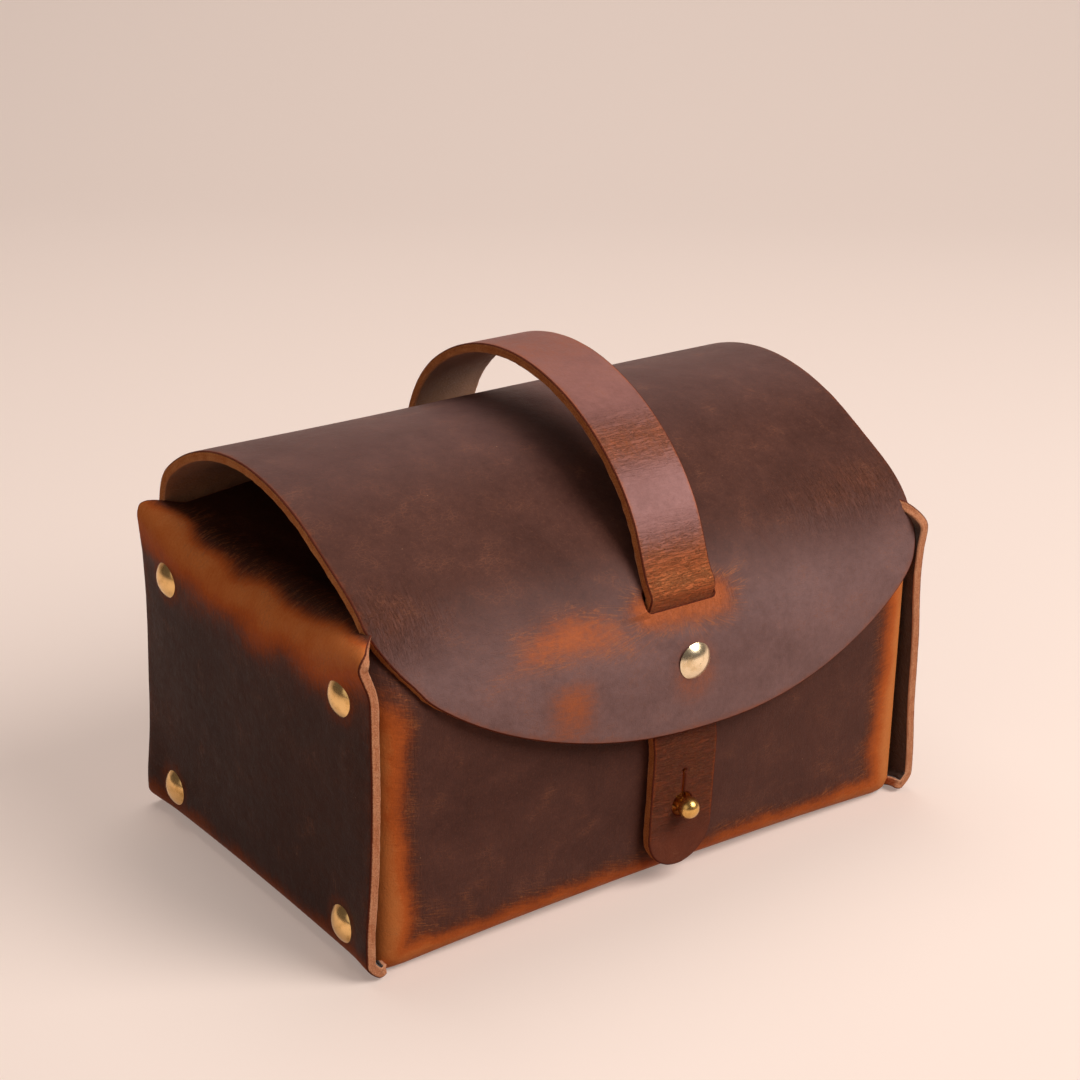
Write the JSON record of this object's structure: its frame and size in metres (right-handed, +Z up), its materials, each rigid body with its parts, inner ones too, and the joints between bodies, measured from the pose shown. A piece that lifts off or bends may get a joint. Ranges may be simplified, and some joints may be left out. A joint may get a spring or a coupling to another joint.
{
  "type": "stationery box",
  "caption": "Riveted leather box with a domed flap lid, a carrying strap and a tab that buttons on a brass ball stud.",
  "frame": {"origin": "centre of the flat underside, on the surface that the box stands on", "axes": "+X to the right end along the box's width, +Y to the back, +Z up; the front with the closing tab faces -Y"},
  "size_m": [0.2238, 0.1515, 0.1591],
  "materials": {
    "hide": "dark brown waxed pull-up leather, tan where it is bent or cut",
    "strap_hide": "red-brown waxed pull-up strap leather with tan cut edges",
    "brass": "polished solid brass"
  },
  "bodies": {
    "box": {"base_panel": "hide", "front_panel": "hide", "back_panel": "hide", "left_end_panel": "hide", "right_end_panel": "hide", "left_front_low_cap": "brass", "left_front_high_cap": "brass", "left_back_low_cap": "brass", "left_back_high_cap": "brass", "right_front_low_cap": "brass", "right_front_high_cap": "brass", "right_back_low_cap": "brass", "right_back_high_cap": "brass", "left_front_low_post": "brass", "left_front_high_post": "brass", "left_back_low_post": "brass", "left_back_high_post": "brass", "right_front_low_post": "brass", "right_front_high_post": "brass", "right_back_low_post": "brass", "right_back_high_post": "brass", "ball_stud": "brass", "stud_screw": "brass"},
    "lid": {"lid": "hide", "handle_strap": "strap_hide", "lid_rivet_cap": "brass", "lid_rivet_post": "brass", "handle_rivet_cap": "brass", "handle_rivet_post": "brass"},
    "left_top_flap": {"left_top_flap": "hide"},
    "right_top_flap": {"right_top_flap": "hide"},
    "tab": {"closing_tab": "strap_hide"}
  },
  "joints": [
    {"name": "lid_hinge", "type": "hinge", "parent": "box", "child": "lid", "pos_m": [0, 0.0684, 0.0953], "axis": [-1, 0, 0], "range_deg": [0, 120], "deforming": ["closing_tab"]},
    {"name": "tab_bend", "type": "hinge", "parent": "lid", "child": "tab", "pos_m": [0.004, -0.0731, 0.0545], "axis": [-1, 0, 0], "range_deg": [0, 80], "deforming": ["closing_tab"]},
    {"name": "left_flap_fold", "type": "hinge", "parent": "box", "child": "left_top_flap", "pos_m": [-0.10511, 0, 0.10601], "axis": [0, 1, 0], "range_deg": [0, 45]},
    {"name": "right_flap_fold", "type": "hinge", "parent": "box", "child": "right_top_flap", "pos_m": [0.10511, 0, 0.10601], "axis": [0, -1, 0], "range_deg": [0, 45]}
  ]
}
